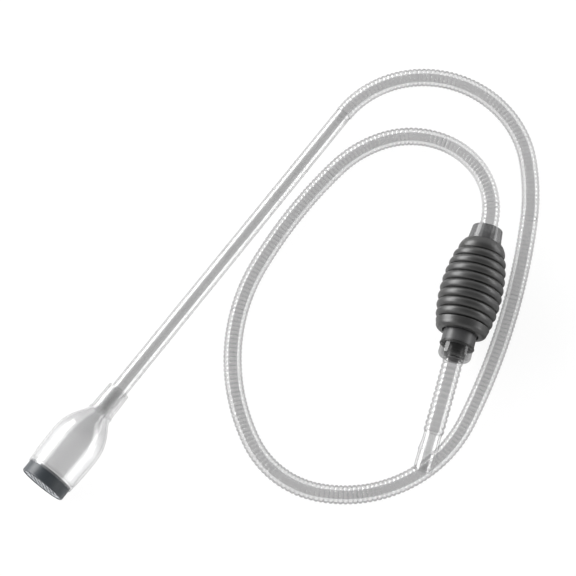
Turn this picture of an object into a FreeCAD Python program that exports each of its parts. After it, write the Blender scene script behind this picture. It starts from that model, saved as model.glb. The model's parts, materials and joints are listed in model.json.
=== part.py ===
import FreeCAD, Part
import math
import os

# Gravel vacuum siphon, in millimetres, lying coiled on a floor at z = 0, with +Z up.
# The origin is on the floor at the middle of the footprint.
# Water enters at the strainer, runs through the bell nozzle and the straight lift tube, round
# the corrugated hose to the squeeze bulb, past two check valves, and leaves at the outlet cuff.
# Headings are in degrees from +X towards +Y, and a turn to the right is negative.
# "along" is the distance down a piece's own axis, and every round piece is turned about that axis.

# ---- Fits -------------------------------------------------------------------------------------
PUSH_GAP = 0.05                 # radial gap of a pushed-in or sliding piece
FACE_GAP = 0.05                 # gap between two end faces that rest on each other
HOSE_GAP = 0.2                  # gap round a hose's plain end

# ---- Main hose: where it lies ------------------------------------------------------------------
HOSE_START = (55.3, 176.6)      # end of the lift tube, seen from above
WAND_HEADING = 53.3             # heading of the lift tube, from the nozzle to the hose
HOSE_STRETCHES = [              # length and turn of each even curve, from the lift tube to the bulb
    (84.0, -46.5),
    (165.0, -90.2),
    (65.0, -16.1),
    (219.0, -18.0),
    (172.0, -73.5),
    (84.0, -53.3),
    (186.0, -55.1),
    (133.0, -15.3),
    (57.0, -27.0),
    (77.0, -57.0),
    (97.5, -67.2),
]
LEVELLING_LENGTH = 40.0         # the hose leaves the sloping tube and lies flat over this length
PUMP_RISE_LENGTH = 170.0        # the hose climbs from the floor to the bulb over this length

# ---- Main hose: its section ---------------------------------------------------------------------
HOSE_CREST = 9.1                # outer radius on top of a rib
HOSE_ROOT = 7.95                # outer radius between two ribs
HOSE_WALL = 1.0
RIB_PITCH = 4.51
ROWS_PER_RIB = 4                # control rows of the wavy wall in one rib
SMOOTHING = 1.5                 # a cubic wave reaches two thirds of the height of its control rows
HOSE_SECTIONS = [               # name and number of ribs, from the lift tube to the bulb
    ("hose_01_wand_flex", 20),
    ("hose_02_wand_lead", 8),
    ("hose_03_swing_flex", 22),
    ("hose_04_outer_arc", 19),
    ("hose_05_outer_arc", 19),
    ("hose_06_lift_flex", 22),
    ("hose_07_lower_loop", 19),
    ("hose_08_lower_loop", 19),
    ("hose_09_lower_loop", 19),
    ("hose_10_lower_loop", 19),
    ("hose_11_lower_loop", 19),
    ("hose_12_lower_loop", 19),
    ("hose_13_lower_loop", 19),
    ("hose_14_swing_flex", 21),
    ("hose_15_pump_lead", 8),
    ("hose_16_lift_flex", 20),
    ("hose_17_pump_end", 5),
]
MOVING_BORDERS = (              # sections that the next one moves against, so they end one row early
    "hose_01_wand_flex",
    "hose_03_swing_flex",
    "hose_06_lift_flex",
    "hose_13_lower_loop",
    "hose_15_pump_lead",
)

# ---- Wand: strainer, bell nozzle, collar and lift tube, along from the strainer's face ------------
WAND_LENGTH = 486.0             # strainer face to hose
TUBE_RADIUS = 8.3
TUBE_WALL = 1.1
TUBE_SPIGOT_LENGTH = 7.0        # how far the hose's plain end reaches into the tube
SPIGOT_LEAD = 0.6               # and how far it stands out before the ribs begin
BEAD_HEIGHT = 0.3               # low rings round the tube, in pairs
BEAD_LENGTH = 1.4
BEAD_PAIRS = 8
BEAD_GAP = 7.0                  # between the two rings of a pair
BEAD_PITCH = 38.0               # from pair to pair
FIRST_BEAD = 22.0               # past the end of the collar

RING_RADIUS = 23.5              # strainer
RING_WALL = 2.0
RING_FACE = 11.5                # how far the ring stands out of the bell
RING_LENGTH = 13.8
RING_EDGE = 1.6
GRID_DEPTH = 0.8                # how deep the grid sits behind the ring's face
GRID_THICKNESS = 2.0
GRID_LEDGE = 1.0                # ledge in the ring that the grid rests on
MESH_PITCH = 4.4
MESH_OPENING = 3.1

BELL_MOUTH_RADIUS = 24.7
BELL_RADIUS = 26.2              # widest, in the middle of the bell
BELL_WALL = 1.8
BELL_WIDEST = 47.0
BELL_TOP = 87.5                 # end of the shoulder
BELL_TOP_RADIUS = 11.6
FLANGE_RADIUS = 12.9
FLANGE_LENGTH = 2.0
STOP_LENGTH = 1.5               # ring inside the bell that stops the strainer
STOP_HEIGHT = 1.2

COLLAR_LENGTH = 27.4
COLLAR_RADIUS = 11.8            # at the bell
COLLAR_END_RADIUS = 11.3
BUSH_RADIUS = 10.0
BUSH_LENGTH = 24.0
BUSH_START = 2.0                # behind the start of the collar
TUBE_IN_COLLAR = 3.0            # the tube's end lies this far behind the start of the collar

# ---- Pump: along from the mouth of the inlet connector, towards the outlet ------------------------
PUMP_AXIS_HEIGHT = 31.6
PUMP_OFFSET = 3.5               # straight hose between its last curve and the inlet connector
INLET_NECK_LENGTH = 16.2
INLET_MOUTH_RADIUS = 15.2
INLET_NECK_RADIUS = 16.9
BARREL_RADIUS = 14.0            # both connectors' ends inside the bulb
INLET_BARREL_END = 34.0
HOSE_SOCKET_DEPTH = 14.0
PLAIN_END_RADIUS = 8.9          # the hose's smooth end inside the inlet connector
DUCT_RADIUS = 7.0

BULB_RADIUS = 31.0
BULB_END = 112.5
BULB_MIDDLE = 71.3
BULB_INLET_REACH = 72.0         # half-length of the egg shape towards the inlet
BULB_OUTLET_REACH = 64.0        # and towards the outlet
BULB_WALL = 4.4
BULB_END_WALL = 3.0
BULB_EDGE = 3.0                 # rounding at the outlet end
GROOVE_COUNT = 9
FIRST_GROOVE = 29.0
GROOVE_PITCH = 9.14
GROOVE_DEPTH = 2.4

OUTLET_COLLAR_RADIUS = 16.5
OUTLET_COLLAR_END = 124.2
OUTLET_BARREL_START = 99.0
SPIGOT_RADIUS = 13.0            # the outlet connector's end inside the outlet collar
SPIGOT_START = 110.0
O_RING_SECTION = 1.4
O_RING_RADIUS = 17.3            # to its outside
CONNECTOR_RADIUS = 16.2
CONNECTOR_LENGTH = 12.6         # from the O-ring to the hose
CONNECTOR_STRAIGHT = 6.0        # its cylindrical part
CONNECTOR_MOUTH_RADIUS = 12.0
OUTLET_SOCKET_DEPTH = 8.0       # the outlet hose's plain end inside the connector

# ---- Check valves: a rubber disc on a stem that slides in the middle of a seat --------------------
VALVE_TRAVEL = 2.0
DISC_THICKNESS = 1.2
STEM_RADIUS = 1.6
STEM_BEAD = 2.6
STEM_BEAD_LENGTH = 1.4
SEAT_THICKNESS = 2.0
PORT_COUNT = 6
INLET_SEAT_START = 23.0
INLET_SEAT_RADIUS = 11.6
INLET_DISC_RADIUS = 8.6
INLET_PORT_RADIUS = 1.9
INLET_PORT_CIRCLE = 5.6
OUTLET_SEAT_RADIUS = 10.2
OUTLET_SEAT_FLANGE = 4.3
OUTLET_CAGE_RADIUS = 7.6
OUTLET_CAGE_WALL = 0.9
OUTLET_DISC_RADIUS = 6.2
OUTLET_PORT_RADIUS = 1.2
OUTLET_PORT_CIRCLE = 4.2

# ---- Outlet hose and cuff ------------------------------------------------------------------------
OUTLET_CREST = 10.0
OUTLET_ROOT = 8.7
OUTLET_WALL = 1.0
OUTLET_RIBS = 13
OUTLET_PITCH = 5.78
OUTLET_TURN = -1.0
OUTLET_DROOP = 3.0              # the cuff rests on the main hose, a little lower than the pump
CUFF_LENGTH = 38.0
CUFF_START_RADIUS = 8.9
CUFF_WAIST_RADIUS = 8.6
CUFF_FLARE_RADIUS = 9.7
CUFF_BEAD_RADIUS = 10.1
CUFF_BEAD_AT = 17.0
CUFF_BEAD_LENGTH = 2.0
CUFF_END_RADIUS = 9.2
CUFF_SOCKET_RADIUS = 7.6
CUFF_SOCKET_LENGTH = 18.0
CUFF_THROAT_RADIUS = 6.9

# ---- Worked out from the sizes above ----------------------------------------------------------------
BELL_START = RING_FACE
COLLAR_START = BELL_TOP + FLANGE_LENGTH + FACE_GAP
COLLAR_END = COLLAR_START + COLLAR_LENGTH
TUBE_BORE = TUBE_RADIUS - TUBE_WALL
CONNECTOR_START = OUTLET_COLLAR_END + 2 * O_RING_SECTION
CONNECTOR_END = CONNECTOR_START + CONNECTOR_LENGTH
OUTLET_HOSE_LENGTH = OUTLET_RIBS * OUTLET_PITCH
HOSE_LENGTH = RIB_PITCH * sum(ribs for name, ribs in HOSE_SECTIONS)
HOSE_REST_HEIGHT = HOSE_CREST   # the ribs touch the floor
# The wand rests on the bell's widest ring and on the hose, so its nozzle end is the higher one.
WAND_SLOPE = math.degrees(math.asin((BELL_RADIUS - HOSE_REST_HEIGHT) / (WAND_LENGTH - BELL_WIDEST)))

Vector = FreeCAD.Vector
AXIS = Vector(1, 0, 0)
UP = Vector(0, 0, 1)


# ---- Directions and places ------------------------------------------------------------------------

def direction(heading, climb=0.0):
    """Unit vector with a heading seen from above and a climb above the level, both in degrees."""
    flat = math.cos(math.radians(climb))
    x = flat * math.cos(math.radians(heading))
    y = flat * math.sin(math.radians(heading))
    return Vector(x, y, math.sin(math.radians(climb)))


def plan_at(distance):
    """Place and heading of the main hose, seen from above, at a distance from the lift tube."""
    x, y = HOSE_START
    heading = WAND_HEADING
    if distance < 0:
        step = direction(heading) * distance
        return x + step.x, y + step.y, heading
    for length, turn in HOSE_STRETCHES:
        part = min(distance, length)
        bend = turn * part / length
        chord = part * math.sin(math.radians(bend / 2)) / math.radians(bend / 2) if part else 0.0
        step = direction(heading + bend / 2) * chord
        x += step.x
        y += step.y
        heading += bend
        distance -= part
    step = direction(heading) * distance
    return x + step.x, y + step.y, heading


def height_at(distance):
    """Height of the main hose's centre above the floor."""
    fall = math.tan(math.radians(WAND_SLOPE))
    if distance < 0:
        return HOSE_REST_HEIGHT + fall * (LEVELLING_LENGTH / 2 - distance)
    if distance < LEVELLING_LENGTH:
        left = LEVELLING_LENGTH - distance
        return HOSE_REST_HEIGHT + fall * left * left / (2 * LEVELLING_LENGTH)
    climbed = (distance - (HOSE_LENGTH - PUMP_RISE_LENGTH)) / PUMP_RISE_LENGTH
    climbed = max(0.0, min(1.0, climbed))
    ease = (1 - math.cos(math.pi * climbed)) / 2
    return HOSE_REST_HEIGHT + (PUMP_AXIS_HEIGHT - HOSE_REST_HEIGHT) * ease


def hose_centre(distance):
    """Centre of the main hose."""
    x, y, heading = plan_at(distance)
    return Vector(x, y, height_at(distance))


def hose_heading(distance):
    """Heading of the main hose, in degrees."""
    return plan_at(distance)[2]


def pump_heading():
    """Heading of the pump's axis, from the inlet to the outlet."""
    return hose_heading(HOSE_LENGTH)


def pump_point(along):
    """Point on the pump's axis."""
    return hose_centre(HOSE_LENGTH) + direction(pump_heading()) * (PUMP_OFFSET + along)


def wand_direction():
    """Direction of the wand, from the strainer to the hose."""
    return direction(WAND_HEADING, -WAND_SLOPE)


def wand_point(along):
    """Point on the wand's axis."""
    return hose_centre(0.0) + wand_direction() * (along - WAND_LENGTH)


def outlet_centre(distance):
    """Centre of the outlet hose and cuff, at a distance from the outlet connector."""
    if distance < 0:
        return pump_point(CONNECTOR_END + distance)
    bent = min(distance, OUTLET_HOSE_LENGTH)
    straight = distance - bent
    share = bent / OUTLET_HOSE_LENGTH
    middle = direction(pump_heading() + OUTLET_TURN * share / 2, -OUTLET_DROOP * share / 2)
    return pump_point(CONNECTOR_END) + middle * bent + cuff_direction() * straight


def outlet_heading(distance):
    """Heading of the outlet hose."""
    return pump_heading() + OUTLET_TURN * max(0.0, min(1.0, distance / OUTLET_HOSE_LENGTH))


def cuff_direction():
    """Direction of the outlet cuff, towards its open end."""
    return direction(pump_heading() + OUTLET_TURN, -OUTLET_DROOP)


def placed(shape, start, towards):
    """Move a shape made on the X axis so that its axis starts at a point and runs along a direction."""
    side = UP.cross(towards).normalize()
    rise = towards.cross(side)
    frame = FreeCAD.Matrix(
        towards.x, side.x, rise.x, start.x,
        towards.y, side.y, rise.y, start.y,
        towards.z, side.z, rise.z, start.z,
        0, 0, 0, 1)
    moved = shape.copy()
    moved.Placement = FreeCAD.Placement(frame)
    return moved


def on_wand(shape):
    return placed(shape, wand_point(0.0), wand_direction())


def on_pump(shape):
    return placed(shape, pump_point(0.0), direction(pump_heading()))


def on_cuff(shape):
    return placed(shape, outlet_centre(OUTLET_HOSE_LENGTH), cuff_direction())


# ---- Turned pieces --------------------------------------------------------------------------------

class Outline:
    """Half section of a turned piece: a closed outline of distances along the axis and radii."""

    def __init__(self, along, radius):
        self.start = Vector(along, 0, radius)
        self.at = self.start
        self.edges = []

    def line(self, along, radius):
        end = Vector(along, 0, radius)
        self.edges.append(Part.makeLine(self.at, end))
        self.at = end
        return self

    def lines(self, points):
        for along, radius in points:
            self.line(along, radius)
        return self

    def arc(self, middle, end):
        middle_point = Vector(middle[0], 0, middle[1])
        end_point = Vector(end[0], 0, end[1])
        self.edges.append(Part.Arc(self.at, middle_point, end_point).toShape())
        self.at = end_point
        return self

    def round_corner(self, corner, end):
        """Quarter-like round from the last point to an end point, bulging towards a corner."""
        chord_middle = ((self.at.x + end[0]) / 2, (self.at.z + end[1]) / 2)
        bulge = math.sqrt(2) - 1
        middle = [c + (k - c) * bulge for c, k in zip(chord_middle, corner)]
        return self.arc(middle, end)

    def curve(self, points):
        through = [self.at] + [Vector(along, 0, radius) for along, radius in points]
        spline = Part.BSplineCurve()
        spline.interpolate(through)
        self.edges.append(spline.toShape())
        self.at = through[-1]
        return self

    def turned(self):
        if self.at.distanceToPoint(self.start) > 1e-7:
            self.edges.append(Part.makeLine(self.at, self.start))
        face = Part.Face(Part.Wire(self.edges))
        solid = face.revolve(Vector(0, 0, 0), AXIS, 360)
        return outward(solid)


def outward(solid):
    """The same solid with its skin facing outwards."""
    return solid if solid.Volume > 0 else solid.reversed()


def tube(start, end, outer, inner):
    """Plain round tube on the X axis."""
    return Outline(start, inner).lines([(start, outer), (end, outer), (end, inner)]).turned()


# ---- Corrugated walls -----------------------------------------------------------------------------

def wavy_rows(start, ribs, pitch, crest, root):
    """Control rows of a corrugated wall, as distances and radii that begin and end between two ribs."""
    middle = (crest + root) / 2
    swing = (crest - root) / 2 * SMOOTHING
    rows = []
    for step in range(ribs * ROWS_PER_RIB + 1):
        phase = 2 * math.pi * step / ROWS_PER_RIB
        rows.append((start + step * pitch / ROWS_PER_RIB, middle - swing * math.cos(phase)))
    rows[0] = (rows[0][0], root)
    rows[-1] = (rows[-1][0], root)
    return rows


def skin(rows, centre, heading, shrink):
    """Smooth round surface through rows of control points along a centre line."""
    corner = math.sqrt(0.5)
    compass = [(1, 0), (1, 1), (0, 1), (-1, 1), (-1, 0), (-1, -1), (0, -1), (1, -1), (1, 0)]
    rounding = [1, corner, 1, corner, 1, corner, 1, corner, 1]
    probe = 0.01
    columns = []
    for distance, radius in rows:
        middle = centre(distance)
        ahead = (centre(distance + probe) - centre(distance - probe)).normalize()
        side = direction(heading(distance) + 90)
        rise = ahead.cross(side)
        reach = radius - shrink
        columns.append([middle + side * (a * reach) + rise * (b * reach) for a, b in compass])
    poles = [list(line) for line in zip(*columns)]
    weights = [[weight] * len(rows) for weight in rounding]
    spans = len(rows) - 3
    surface = Part.BSplineSurface()
    surface.buildFromPolesMultsKnots(
        poles,
        [3, 2, 2, 2, 3],
        [4] + [1] * (spans - 1) + [4],
        [0, 1, 2, 3, 4],
        list(range(spans + 1)),
        False, False, 2, 3, weights)
    return surface.toShape()


def end_wire(face, centre):
    """The round edge of a skin that lies nearest a point."""
    rounds = [edge for edge in face.Edges if edge.isClosed()]
    nearest = min(rounds, key=lambda edge: edge.CenterOfMass.distanceToPoint(centre))
    return Part.Wire([nearest])


def walled(stretches, centre, heading, wall):
    """Closed tube wall between outer skins and inner ones, for stretches that follow each other."""
    outer = [skin(rows, centre, heading, 0.0) for rows in stretches]
    inner = [skin(rows, centre, heading, wall) for rows in stretches]
    faces = outer + inner
    for place, end in ((0, 0), (-1, -1)):
        middle = centre(stretches[place][end][0])
        rims = [end_wire(outer[place], middle), end_wire(inner[place], middle)]
        faces.append(Part.makeFace(rims, "Part::FaceMakerBullseye"))
    shell = Part.makeShell(faces)
    shell.sewShape()
    return outward(Part.Solid(shell))


def plain_rows(start, end, radius):
    """Evenly spaced control rows of a smooth stretch."""
    length = end - start
    return [(start + length * row / 3, radius) for row in range(4)]


def end_one_row_early(rows):
    """Leave a slit between a length of hose and the piece that moves against it."""
    last_radius = rows.pop()[1]
    rows[-1] = (rows[-1][0], last_radius)


def hose_section(number):
    """One section of the main hose, with its plain end if it is the first or the last."""
    counts = [ribs for name, ribs in HOSE_SECTIONS]
    start = RIB_PITCH * sum(counts[:number])
    end = start + RIB_PITCH * counts[number]
    rows = wavy_rows(start, counts[number], RIB_PITCH, HOSE_CREST, HOSE_ROOT)
    stretches = [rows]
    if number == 0:
        spigot = TUBE_BORE - HOSE_GAP
        rows[0] = (SPIGOT_LEAD, spigot)
        stretches = [plain_rows(-TUBE_SPIGOT_LENGTH, SPIGOT_LEAD, spigot), rows]
    if number == len(HOSE_SECTIONS) - 1:
        rows[-1] = (end, PLAIN_END_RADIUS)
        stretches = [rows, plain_rows(end, end + PUMP_OFFSET + HOSE_SOCKET_DEPTH, PLAIN_END_RADIUS)]
    if HOSE_SECTIONS[number][0] in MOVING_BORDERS:
        end_one_row_early(rows)
    return walled(stretches, hose_centre, hose_heading, HOSE_WALL)


def outlet_hose():
    """Short, coarser hose from the outlet connector to the cuff, with a plain end in the connector."""
    plain = plain_rows(HOSE_GAP - OUTLET_SOCKET_DEPTH, 0.0, OUTLET_CREST)
    ribs = wavy_rows(0.0, OUTLET_RIBS, OUTLET_PITCH, OUTLET_CREST, OUTLET_ROOT)
    ribs[0] = (0.0, OUTLET_CREST)
    end_one_row_early(ribs)
    return walled([plain, ribs], outlet_centre, outlet_heading, OUTLET_WALL)


# ---- Wand -----------------------------------------------------------------------------------------

def strainer_ring():
    """Dark cap ring: its face stands out of the bell, its skirt is pushed in up to the stop ring."""
    bore = RING_RADIUS - RING_WALL
    back = GRID_DEPTH + GRID_THICKNESS + FACE_GAP
    outline = Outline(0.0, bore)
    outline.line(0.0, RING_RADIUS - RING_EDGE)
    outline.round_corner((0.0, RING_RADIUS), (RING_EDGE, RING_RADIUS))
    outline.lines([(RING_LENGTH, RING_RADIUS), (RING_LENGTH, bore - GRID_LEDGE)])
    outline.lines([(back, bore - GRID_LEDGE), (back, bore)])
    return on_wand(outline.turned())


def strainer_grid():
    """Round plate with square openings that keeps gravel and fish out."""
    radius = RING_RADIUS - RING_WALL - PUSH_GAP
    plate = tube(GRID_DEPTH, GRID_DEPTH + GRID_THICKNESS, radius, 0.0)
    reach = int(radius // MESH_PITCH)
    clear = radius - 1.5
    openings = []
    for column in range(-reach, reach + 1):
        for row in range(-reach, reach + 1):
            y = column * MESH_PITCH
            z = row * MESH_PITCH
            if math.hypot(abs(y) + MESH_OPENING / 2, abs(z) + MESH_OPENING / 2) > clear:
                continue
            corner = Vector(GRID_DEPTH - 1, y - MESH_OPENING / 2, z - MESH_OPENING / 2)
            openings.append(Part.makeBox(GRID_THICKNESS + 2, MESH_OPENING, MESH_OPENING, corner))
    return on_wand(plate.cut(Part.makeCompound(openings)))


def bell_points(inset):
    """Points of the bell's side after its mouth, moved in by a wall thickness."""
    outside = [
        (24.0, 25.6),
        (BELL_WIDEST, BELL_RADIUS),
        (59.0, 25.2),
        (66.0, 23.3),
        (73.0, 20.2),
        (80.0, 15.9),
        (BELL_TOP, BELL_TOP_RADIUS),
    ]
    return [(along, radius - inset) for along, radius in outside]


def nozzle_bell():
    """Clear bell with a stop ring for the strainer, a rounded shoulder and a flange."""
    bore = RING_RADIUS + PUSH_GAP
    stop = RING_LENGTH + FACE_GAP
    back = stop + STOP_LENGTH
    inside = bell_points(BELL_WALL)[1:]
    neck = TUBE_BORE
    outline = Outline(BELL_START, bore)
    outline.line(BELL_START, BELL_MOUTH_RADIUS)
    outline.curve(bell_points(0.0))
    outline.lines([(BELL_TOP, FLANGE_RADIUS), (BELL_TOP + FLANGE_LENGTH, FLANGE_RADIUS)])
    outline.lines([(BELL_TOP + FLANGE_LENGTH, neck), inside[-1]])
    outline.curve(list(reversed(inside[:-1])) + [(back + STOP_LENGTH, bore + STOP_HEIGHT / 2)])
    outline.lines([(back, bore - STOP_HEIGHT), (stop, bore - STOP_HEIGHT), (stop, bore)])
    return on_wand(outline.turned())


def nozzle_collar():
    """Clear, slightly tapered sleeve between the bell and the lift tube."""
    outline = Outline(COLLAR_START, BUSH_RADIUS + PUSH_GAP)
    outline.lines([(COLLAR_START, COLLAR_RADIUS), (COLLAR_END, COLLAR_END_RADIUS)])
    outline.lines([(COLLAR_END, TUBE_RADIUS + PUSH_GAP), (COLLAR_END - FLANGE_LENGTH, TUBE_RADIUS + PUSH_GAP)])
    outline.line(COLLAR_END - FLANGE_LENGTH, BUSH_RADIUS + PUSH_GAP)
    return on_wand(outline.turned())


def collar_bush():
    """Soft grey bush inside the collar, in which the lift tube can turn."""
    start = COLLAR_START + BUSH_START - FACE_GAP
    end = COLLAR_END - FLANGE_LENGTH - FACE_GAP
    return on_wand(tube(start, end, BUSH_RADIUS, TUBE_RADIUS + PUSH_GAP))


def lift_tube():
    """Straight rigid tube with pairs of low rings, from the collar to the hose."""
    outline = Outline(COLLAR_START + TUBE_IN_COLLAR, TUBE_BORE)
    outline.line(COLLAR_START + TUBE_IN_COLLAR, TUBE_RADIUS)
    for pair in range(BEAD_PAIRS):
        for offset in (0.0, BEAD_GAP):
            bead = COLLAR_END + FIRST_BEAD + pair * BEAD_PITCH + offset
            outline.line(bead, TUBE_RADIUS)
            top = (bead + BEAD_LENGTH / 2, TUBE_RADIUS + BEAD_HEIGHT)
            outline.arc(top, (bead + BEAD_LENGTH, TUBE_RADIUS))
    outline.lines([(WAND_LENGTH, TUBE_RADIUS), (WAND_LENGTH, TUBE_BORE)])
    return on_wand(outline.turned())


# ---- Pump -----------------------------------------------------------------------------------------

def inlet_connector():
    """Smoky socket for the hose, with a barrel inside the bulb that holds the inlet valve."""
    socket = PLAIN_END_RADIUS + HOSE_GAP
    pocket = INLET_SEAT_RADIUS + PUSH_GAP
    outline = Outline(0.0, socket)
    outline.line(0.0, INLET_MOUTH_RADIUS - 1.0)
    outline.round_corner((0.0, INLET_MOUTH_RADIUS), (1.0, INLET_MOUTH_RADIUS))
    outline.lines([(INLET_NECK_LENGTH, INLET_NECK_RADIUS), (INLET_NECK_LENGTH, BARREL_RADIUS)])
    outline.lines([(INLET_BARREL_END, BARREL_RADIUS), (INLET_BARREL_END, pocket)])
    outline.lines([(INLET_SEAT_START, pocket), (INLET_SEAT_START, DUCT_RADIUS)])
    outline.lines([(HOSE_SOCKET_DEPTH + HOSE_GAP, DUCT_RADIUS), (HOSE_SOCKET_DEPTH + HOSE_GAP, socket)])
    return on_pump(outline.turned())


def ports(start, length, circle, radius):
    """Ring of round water ports through a valve seat."""
    holes = []
    for number in range(PORT_COUNT):
        angle = 2 * math.pi * number / PORT_COUNT
        base = Vector(start, circle * math.cos(angle), circle * math.sin(angle))
        holes.append(Part.makeCylinder(radius, length, base, AXIS))
    return Part.makeCompound(holes)


def inlet_valve_seat():
    """Plate with a ring of ports and a middle hole that guides the valve's stem."""
    start = INLET_SEAT_START + FACE_GAP
    plate = tube(start, start + SEAT_THICKNESS, INLET_SEAT_RADIUS, STEM_RADIUS + PUSH_GAP)
    return on_pump(plate.cut(ports(start - 1, SEAT_THICKNESS + 2, INLET_PORT_CIRCLE, INLET_PORT_RADIUS)))


def valve_disc(seat_start, radius):
    """Mushroom valve: a disc that covers the ports, a stem, and a bead that stops the lift."""
    face = seat_start + SEAT_THICKNESS + FACE_GAP
    stop = seat_start - VALVE_TRAVEL - FACE_GAP
    tip = stop - STEM_BEAD_LENGTH
    rim = DISC_THICKNESS * 0.6
    outline = Outline(tip, 0.0)
    outline.line(tip, STEM_BEAD * 0.6)
    outline.lines([(stop, STEM_BEAD), (stop, STEM_RADIUS), (face, STEM_RADIUS), (face, radius)])
    outline.lines([(face + rim, radius), (face + DISC_THICKNESS, radius * 0.4)])
    outline.line(face + DISC_THICKNESS, 0.0)
    return outline.turned()


def inlet_valve_disc():
    return on_pump(valve_disc(INLET_SEAT_START + FACE_GAP, INLET_DISC_RADIUS))


def bulb_radius(along):
    """Radius of the bulb's egg shape, without its grooves."""
    reach = BULB_INLET_REACH if along < BULB_MIDDLE else BULB_OUTLET_REACH
    share = (along - BULB_MIDDLE) / reach
    return BULB_RADIUS * math.sqrt(1 - share * share)


def squeeze_bulb():
    """Hollow rubber bulb with sharp grooves between rounded ribs and a smooth shoulder at the outlet."""
    mouth = BARREL_RADIUS + PUSH_GAP
    start = INLET_NECK_LENGTH + FACE_GAP
    outline = Outline(start, mouth)
    outline.line(start, bulb_radius(start) - 1.0)
    lobe_start = start
    for number in range(GROOVE_COUNT):
        groove = FIRST_GROOVE + number * GROOVE_PITCH
        middle = (lobe_start + groove) / 2
        outline.arc((middle, bulb_radius(middle)), (groove, bulb_radius(groove) - GROOVE_DEPTH))
        lobe_start = groove
    last = BULB_END - BULB_EDGE
    middle = (lobe_start + last) / 2
    outline.arc((middle, bulb_radius(middle)), (last, bulb_radius(last)))
    corner = bulb_radius(last) - 0.6
    outline.round_corner((BULB_END, corner), (BULB_END, corner - BULB_EDGE))
    outline.line(BULB_END, mouth)
    inner_end = BULB_END - BULB_END_WALL
    inner_start = start + BULB_END_WALL
    outline.line(inner_end, mouth)
    hollow = [inner_end - 5.0, BULB_MIDDLE + 24.0, BULB_MIDDLE, BULB_MIDDLE - 26.0, inner_start + 6.0]
    inside = [(along, bulb_radius(along) - BULB_WALL) for along in hollow]
    outline.curve(inside + [(inner_start, mouth)])
    return on_pump(outline.turned())


def outlet_collar():
    """Dark collar on the bulb's outlet end, with a barrel inside the bulb and a socket outside."""
    face = BULB_END + FACE_GAP
    socket = SPIGOT_RADIUS + PUSH_GAP
    outline = Outline(OUTLET_BARREL_START, DUCT_RADIUS)
    outline.lines([(OUTLET_BARREL_START, BARREL_RADIUS), (face, BARREL_RADIUS), (face, OUTLET_COLLAR_RADIUS)])
    outline.lines([(OUTLET_COLLAR_END, OUTLET_COLLAR_RADIUS), (OUTLET_COLLAR_END, socket)])
    outline.lines([(SPIGOT_START - FACE_GAP, socket), (SPIGOT_START - FACE_GAP, DUCT_RADIUS)])
    return on_pump(outline.turned())


def outlet_o_ring():
    """Black O-ring between the outlet collar and the outlet connector."""
    middle = OUTLET_COLLAR_END + O_RING_SECTION
    centre_radius = O_RING_RADIUS - O_RING_SECTION
    section = O_RING_SECTION - PUSH_GAP
    ring = Part.makeTorus(centre_radius, section, Vector(middle, 0, 0), AXIS)
    return on_pump(ring)


def outlet_connector():
    """Smoky glossy connector: a spigot in the collar, a rounded shoulder and a socket for the hose."""
    land = O_RING_RADIUS - 2 * O_RING_SECTION
    socket = OUTLET_CREST + HOSE_GAP
    pocket = OUTLET_SEAT_RADIUS + PUSH_GAP
    step = CONNECTOR_END - OUTLET_SOCKET_DEPTH
    duct = OUTLET_SEAT_RADIUS - 1.0
    outline = Outline(SPIGOT_START, duct)
    outline.line(SPIGOT_START, SPIGOT_RADIUS)
    outline.line(OUTLET_COLLAR_END + FACE_GAP, SPIGOT_RADIUS)
    outline.lines([(OUTLET_COLLAR_END + FACE_GAP, land), (CONNECTOR_START, land)])
    outline.line(CONNECTOR_START, CONNECTOR_RADIUS)
    outline.line(CONNECTOR_START + CONNECTOR_STRAIGHT, CONNECTOR_RADIUS)
    outline.round_corner((CONNECTOR_END, CONNECTOR_RADIUS), (CONNECTOR_END, CONNECTOR_MOUTH_RADIUS))
    outline.lines([(CONNECTOR_END, socket), (step, socket), (step, pocket)])
    outline.lines([(step - OUTLET_SEAT_FLANGE - FACE_GAP, pocket), (step - OUTLET_SEAT_FLANGE - FACE_GAP, duct)])
    return on_pump(outline.turned())


def outlet_seat_start():
    """Where the outlet valve's seat begins, along the pump."""
    return CONNECTOR_END - OUTLET_SOCKET_DEPTH - OUTLET_SEAT_FLANGE


def outlet_valve_seat():
    """Black seat plate with a cage round the disc that reaches into the outlet hose."""
    start = outlet_seat_start()
    flange_end = start + OUTLET_SEAT_FLANGE - FACE_GAP
    cage = OUTLET_CAGE_RADIUS - OUTLET_CAGE_WALL
    outline = Outline(start, STEM_RADIUS + PUSH_GAP)
    outline.lines([(start, OUTLET_SEAT_RADIUS), (flange_end, OUTLET_SEAT_RADIUS)])
    outline.lines([(flange_end, OUTLET_CAGE_RADIUS), (CONNECTOR_END, OUTLET_CAGE_RADIUS)])
    outline.lines([(CONNECTOR_END, cage), (start + SEAT_THICKNESS, cage)])
    outline.line(start + SEAT_THICKNESS, STEM_RADIUS + PUSH_GAP)
    holes = ports(start - 1, SEAT_THICKNESS + 2, OUTLET_PORT_CIRCLE, OUTLET_PORT_RADIUS)
    return on_pump(outline.turned().cut(holes))


def outlet_valve_disc():
    return on_pump(valve_disc(outlet_seat_start(), OUTLET_DISC_RADIUS))


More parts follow.
